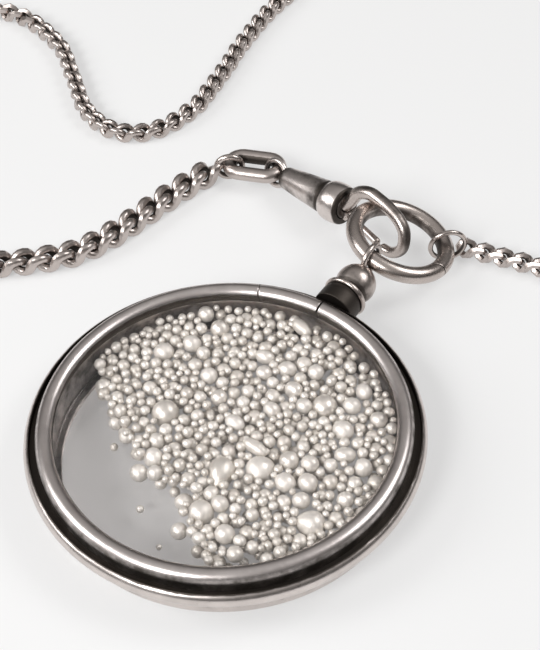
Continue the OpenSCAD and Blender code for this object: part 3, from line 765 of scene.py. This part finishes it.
def make_join_link():
    """An oval of heavy wire: two half circles joined by straight sides."""
    right = arc((LINK_HALF, 0), LINK_BEND, -90, 90, 30)
    left = arc((-LINK_HALF, 0), LINK_BEND, 90, 270, 30)
    side = np.linspace(0, 1, 8)[1:-1, None]
    path = np.vstack([right, right[-1] + side * (left[0] - right[-1]),
                      left, left[-1] + side * (right[0] - left[-1])])
    link = wire(np.column_stack([path, 0 * path[:, 0]]), LINK_WIRE, 24, closed=True)
    v = np.linspace(0, 2 * np.pi, 24, endpoint=False)
    # Painted shade over the inner side of the wire.
    link = link[:3] + (np.tile(0.9 * smooth_step(0.1, 0.9, np.cos(v)), len(path)),)
    piece("oval_link", [moved(link, LINK_TURN, LINK_AT)], chain_silver,
          stands_for=["join_link"])


def standing_ring(name, node, at, radius, thick, heading):
    """A ring of wire that stands on the table, edge on, in the given direction."""
    ring = hoop(radius, thick, 64, radius + 0.3 * thick, radius - 0.8 * thick)
    piece(name, [moved(ring, (90, 0, heading), (at[0], at[1], radius + thick))], polished,
          stands_for=[node])


# ---- Chain ----
def curb_links(centres, along, scale, long_scale, turns, sides):
    """Curb links. The wire's middle runs round a squarish oval, x = 1.611 cos t + 0.335 cos 3t,
    y = 0.985 sin t + 0.144 sin 3t, and rises and falls by z = -0.85 sin 2t - 0.046 sin 4t, so that each link
    passes through the next one. The wire is fuller on the outside of the long sides, and the whole link is
    drawn together in y and z, so that all of them lie flat and close."""
    t = np.linspace(0, 2 * np.pi, turns, endpoint=False)[:, None]
    v = np.linspace(0, 2 * np.pi, sides, endpoint=False)[None, :, None]
    middle = np.concatenate([1.611 * np.cos(t) + 0.335 * np.cos(3 * t),
                             0.985 * np.sin(t) + 0.144 * np.sin(3 * t),
                             -0.85 * np.sin(2 * t) - 0.046 * np.sin(4 * t)], 1)
    run = unit(np.roll(middle, -1, 0) - np.roll(middle, 1, 0))
    out = unit(middle - (middle * run).sum(1, keepdims=True) * run)
    over = np.cross(run, out)
    full = CURB_WIRE * (1 + CURB_FULLER * np.sin(t)[:, None] ** 2 * smooth_step(-0.3, 0.6, np.cos(v)))
    link = middle[:, None] + full * (np.cos(v) * out[:, None] + np.sin(v) * over[:, None])
    link = link * [1, CURB_NARROW, CURB_FLAT]
    # Painted shade over the inner side of the wire.
    shade = 0.9 * smooth_step(-0.2, -0.95, np.cos(v[..., 0]) + 0 * t)
    link = link.reshape(-1, 3)
    left = np.stack([-along[:, 1], along[:, 0]], 1)
    stretched = link[None] * np.stack([scale * long_scale, scale, scale], 1)[:, None]
    flat = stretched[..., :1] * along[:, None] + stretched[..., 1:2] * left[:, None] + centres[:, None]
    height = stretched[..., 2:] + CHAIN_WIDE * scale[:, None, None]
    points = np.concatenate([flat, height], -1).reshape(-1, 3)
    start = (np.arange(len(centres)) * len(link))[:, None, None]
    sheet = (quads(turns, sides, True, True)[None] + start).reshape(-1, 4)
    return points, [sheet], [], np.tile(shade.ravel(), len(centres))


def make_chain():
    """Links at even counts of the chain's pitch, which falls with its width, from the start ring round to
    the end ring. Those that the photograph shows have more faces than the rest."""
    route, s = spline(CHAIN_ROUTE, 0.2)
    thinned = np.clip(s / CHAIN_TAPER, 0, 1)
    scale = (CHAIN_WIDE + (CHAIN_THIN - CHAIN_WIDE) * thinned) / CHAIN_WIDE
    long_scale = 1 + LONG_GAIN * thinned
    pitch = scale * (LINK_PITCH + PITCH_GAIN * thinned)
    count = np.concatenate([[0], np.cumsum(0.5 * (1 / pitch[1:] + 1 / pitch[:-1]) * np.diff(s))])
    total = int(round(count[-1]))
    at = np.interp(np.arange(total + 1) * count[-1] / total, count, s)
    along = unit(np.gradient(route, axis=0))
    x, y, run_x, run_y, scale, long_scale = (np.interp(at, s, values)
                                             for values in (*route.T, *along.T, scale, long_scale))
    centres, headings = np.stack([x, y], 1), unit(np.stack([run_x, run_y], 1))
    shown = np.any([(at >= start) & (at < end) for start, end in SHOWN_RUNS], axis=0)
    parts = [curb_links(centres[pick], headings[pick], scale[pick], long_scale[pick], turns, sides)
             for pick, turns, sides in ((shown, 30, 10), (~shown, 16, 6))]
    piece("curb_chain", parts, chain_silver, stands_for=["chain"])


# ---- Table and light ----
def table():
    """A wide pale table. It glows a little to the camera and in reflections, so that it stays as even as in the
    photograph. Seen through the glass it glows less, and never below nothing."""
    reach, drop = 3.0, -0.00002
    mesh = bpy.data.meshes.new("pale_table")
    corners = [(-reach, -reach, drop), (reach, -reach, drop), (reach, reach, drop), (-reach, reach, drop)]
    mesh.from_pydata(corners, [], [(0, 1, 2, 3)])
    material, tree, shader = blank_material("pale_table")
    shader.inputs["Base Color"].default_value = (TABLE_DIFFUSE, TABLE_DIFFUSE, TABLE_DIFFUSE, 1)
    shader.inputs["Roughness"].default_value = 1.0
    shader.inputs["Specular IOR Level"].default_value = 0.0
    shader.inputs["Emission Color"].default_value = (1, 1, 1, 1)
    ray = add(tree, "ShaderNodeLightPath").outputs
    glow = maths(tree, "MULTIPLY", ray["Is Camera Ray"], GLOW_SEEN)
    glow = maths(tree, "MULTIPLY_ADD", ray["Is Glossy Ray"], GLOW_MIRRORED, glow)
    glow = maths(tree, "MULTIPLY_ADD", ray["Is Transmission Ray"], GLOW_UNDER_GLASS, glow)
    join(tree, shader, {"Emission Strength": maths(tree, "MAXIMUM", glow, 0.0)})
    mesh.materials.append(material)
    floor = bpy.data.objects.new("pale_table", mesh)
    bpy.context.collection.objects.link(floor)


def soft_light(name, toward, distance, size, power):
    """A soft light in a direction given as turn to the left of the camera and height, both in degrees, at a
    distance in millimetres, turned to face the piece."""
    turn, rise = np.radians([CAMERA_TURN - toward[0], toward[1]])
    back = np.array([np.sin(turn) * np.cos(rise), -np.cos(turn) * np.cos(rise), np.sin(rise)])
    right = unit(np.cross([0, 0, 1], back))
    lamp = bpy.data.lights.new(name, "AREA")
    lamp.shape, lamp.size, lamp.size_y, lamp.energy = "RECTANGLE", size[0] * MM, size[1] * MM, power
    obj = bpy.data.objects.new(name, lamp)
    pose = np.eye(4)
    pose[:3, 0], pose[:3, 1], pose[:3, 2] = right, np.cross(back, right), back
    pose[:3, 3] = (np.array(LIGHTS_AIM) + distance * back) * MM
    obj.matrix_world = Matrix(pose.tolist())
    bpy.context.collection.objects.link(obj)


def studio():
    """A room that is dark to its horizon and grey above, and soft lights beside the camera and to its left."""
    world = bpy.data.worlds.new("studio")
    bpy.context.scene.world = world
    world.use_nodes = True
    tree = world.node_tree
    tree.nodes.clear()
    out = tree.nodes.new("ShaderNodeOutputWorld")
    way = add(tree, "ShaderNodeTexCoord").outputs["Generated"]
    height = add(tree, "ShaderNodeSeparateXYZ", {0: way}).outputs["Z"]
    ramp = add(tree, "ShaderNodeValToRGB", {"Fac": height})
    ramp.color_ramp.elements[0].position, ramp.color_ramp.elements[0].color = 0.0, (0.05, 0.046, 0.043, 1)
    ramp.color_ramp.elements[1].position, ramp.color_ramp.elements[1].color = 1.0, (0.75, 0.74, 0.73, 1)
    for position, level in ((0.2, 0.08), (0.45, 0.2), (0.7, 0.5)):
        ramp.color_ramp.elements.new(position).color = (level, level * 0.965, level * 0.94, 1)
    light = add(tree, "ShaderNodeBackground", {"Color": ramp.outputs["Color"], "Strength": 0.7})
    join(tree, out, {"Surface": light.outputs[0]})
    soft_light("front_light", (38, 40), 450, (150, 150), 1.05)
    soft_light("left_light", (88, 34), 420, (170, 220), 0.8)
    soft_light("right_light", (-100, 48), 480, (260, 200), 0.8)
    view = bpy.context.scene.view_settings
    view.view_transform, view.look = "Standard", "None"


photo_camera()
table()
studio()
worn_and_shaded = worn_and_shaded_silver_group()
# Black of the oxidation and of the painted shade
dark = (0.05, 0.042, 0.036, 1)
# Colour where bright and where black, roughness, how black the oxidation and the painted shade get, grain and
# relief
polished, bezel_silver, oxidised_and_shaded, chain_silver = (silver(name, worn_and_shaded, *look) for name, *look in (
    ("polished_silver", (0.57, 0.505, 0.47, 1), dark, 0.24, 0.9, 0.08, 0.3),
    ("bezel_silver", (0.68, 0.625, 0.605, 1), (0.07, 0.06, 0.05, 1), 0.26, 0.95, 0.12, 0.35),
    ("oxidised_silver", (0.68, 0.62, 0.59, 1), dark, 0.24, 0.98, 0.1, 0.3),
    ("chain_silver", (0.56, 0.5, 0.47, 1), dark, 0.28, 0.97, 0.1, 0.3)))
pearly = granule_silver()
glass = clear_glass()

make_case()
make_bezel()
make_granules()
make_finial()
make_bow_ring()
make_hook()
make_gate()
make_barrel()
make_join_link()
standing_ring("start_ring", "chain_start_ring", *START_RING)
standing_ring("end_ring", "chain_end_ring", *END_RING)
make_chain()

for pane in ("front_glass", "back_glass"):
    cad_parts[pane].data.materials.clear()
    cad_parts[pane].data.materials.append(glass)
